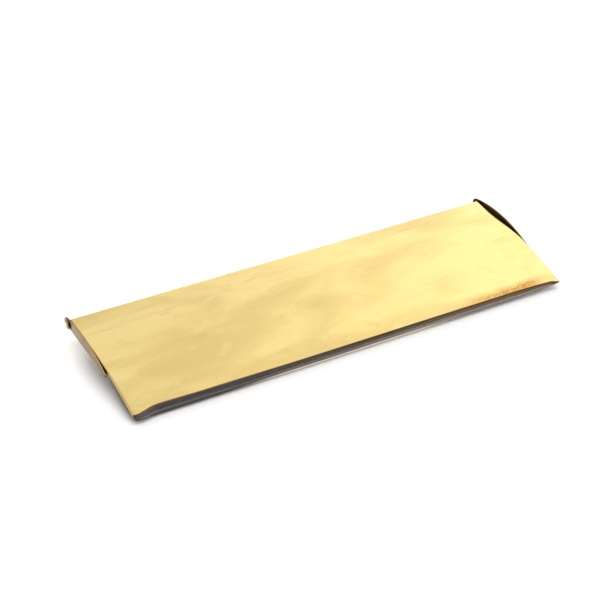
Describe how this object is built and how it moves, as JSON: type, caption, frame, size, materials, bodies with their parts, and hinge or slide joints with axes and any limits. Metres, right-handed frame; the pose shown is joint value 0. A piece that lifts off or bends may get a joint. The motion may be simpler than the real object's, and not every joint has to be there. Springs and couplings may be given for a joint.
{
  "type": "letter plate",
  "caption": "Brass letter plate: an arched flap pivots on domed pins between the upturned ears of a thin back plate with tapped fixing posts.",
  "frame": {"origin": "centre of the part's footprint, on the surface it lies on, touched by the fixing posts and the flap's free edge", "axes": "+X along the hinge line, +Y from the flap's free edge towards the hinge, +Z out of the door; the back plate's rear face is 9 mm above the origin"},
  "size_m": [0.2596, 0.0852, 0.0159],
  "materials": {
    "flap_brass": "aged polish",
    "back_plate_brass": "tarnished",
    "pin_brass": "worn polish",
    "post_brass": "machined",
    "washer_black": "matt"
  },
  "bodies": {
    "back": {"back_plate": "back_plate_brass", "left_pivot_pin": "pin_brass", "right_pivot_pin": "pin_brass", "left_pivot_washer": "washer_black", "right_pivot_washer": "washer_black", "left_fixing_post": "post_brass", "right_fixing_post": "post_brass"},
    "flap": {"flap": "flap_brass"}
  },
  "joints": [
    {"name": "flap_hinge", "type": "hinge", "parent": "back", "child": "flap", "pos_m": [0, 0.03583, 0.01145], "axis": [-1, 0, 0], "range_deg": [0, 170]}
  ]
}
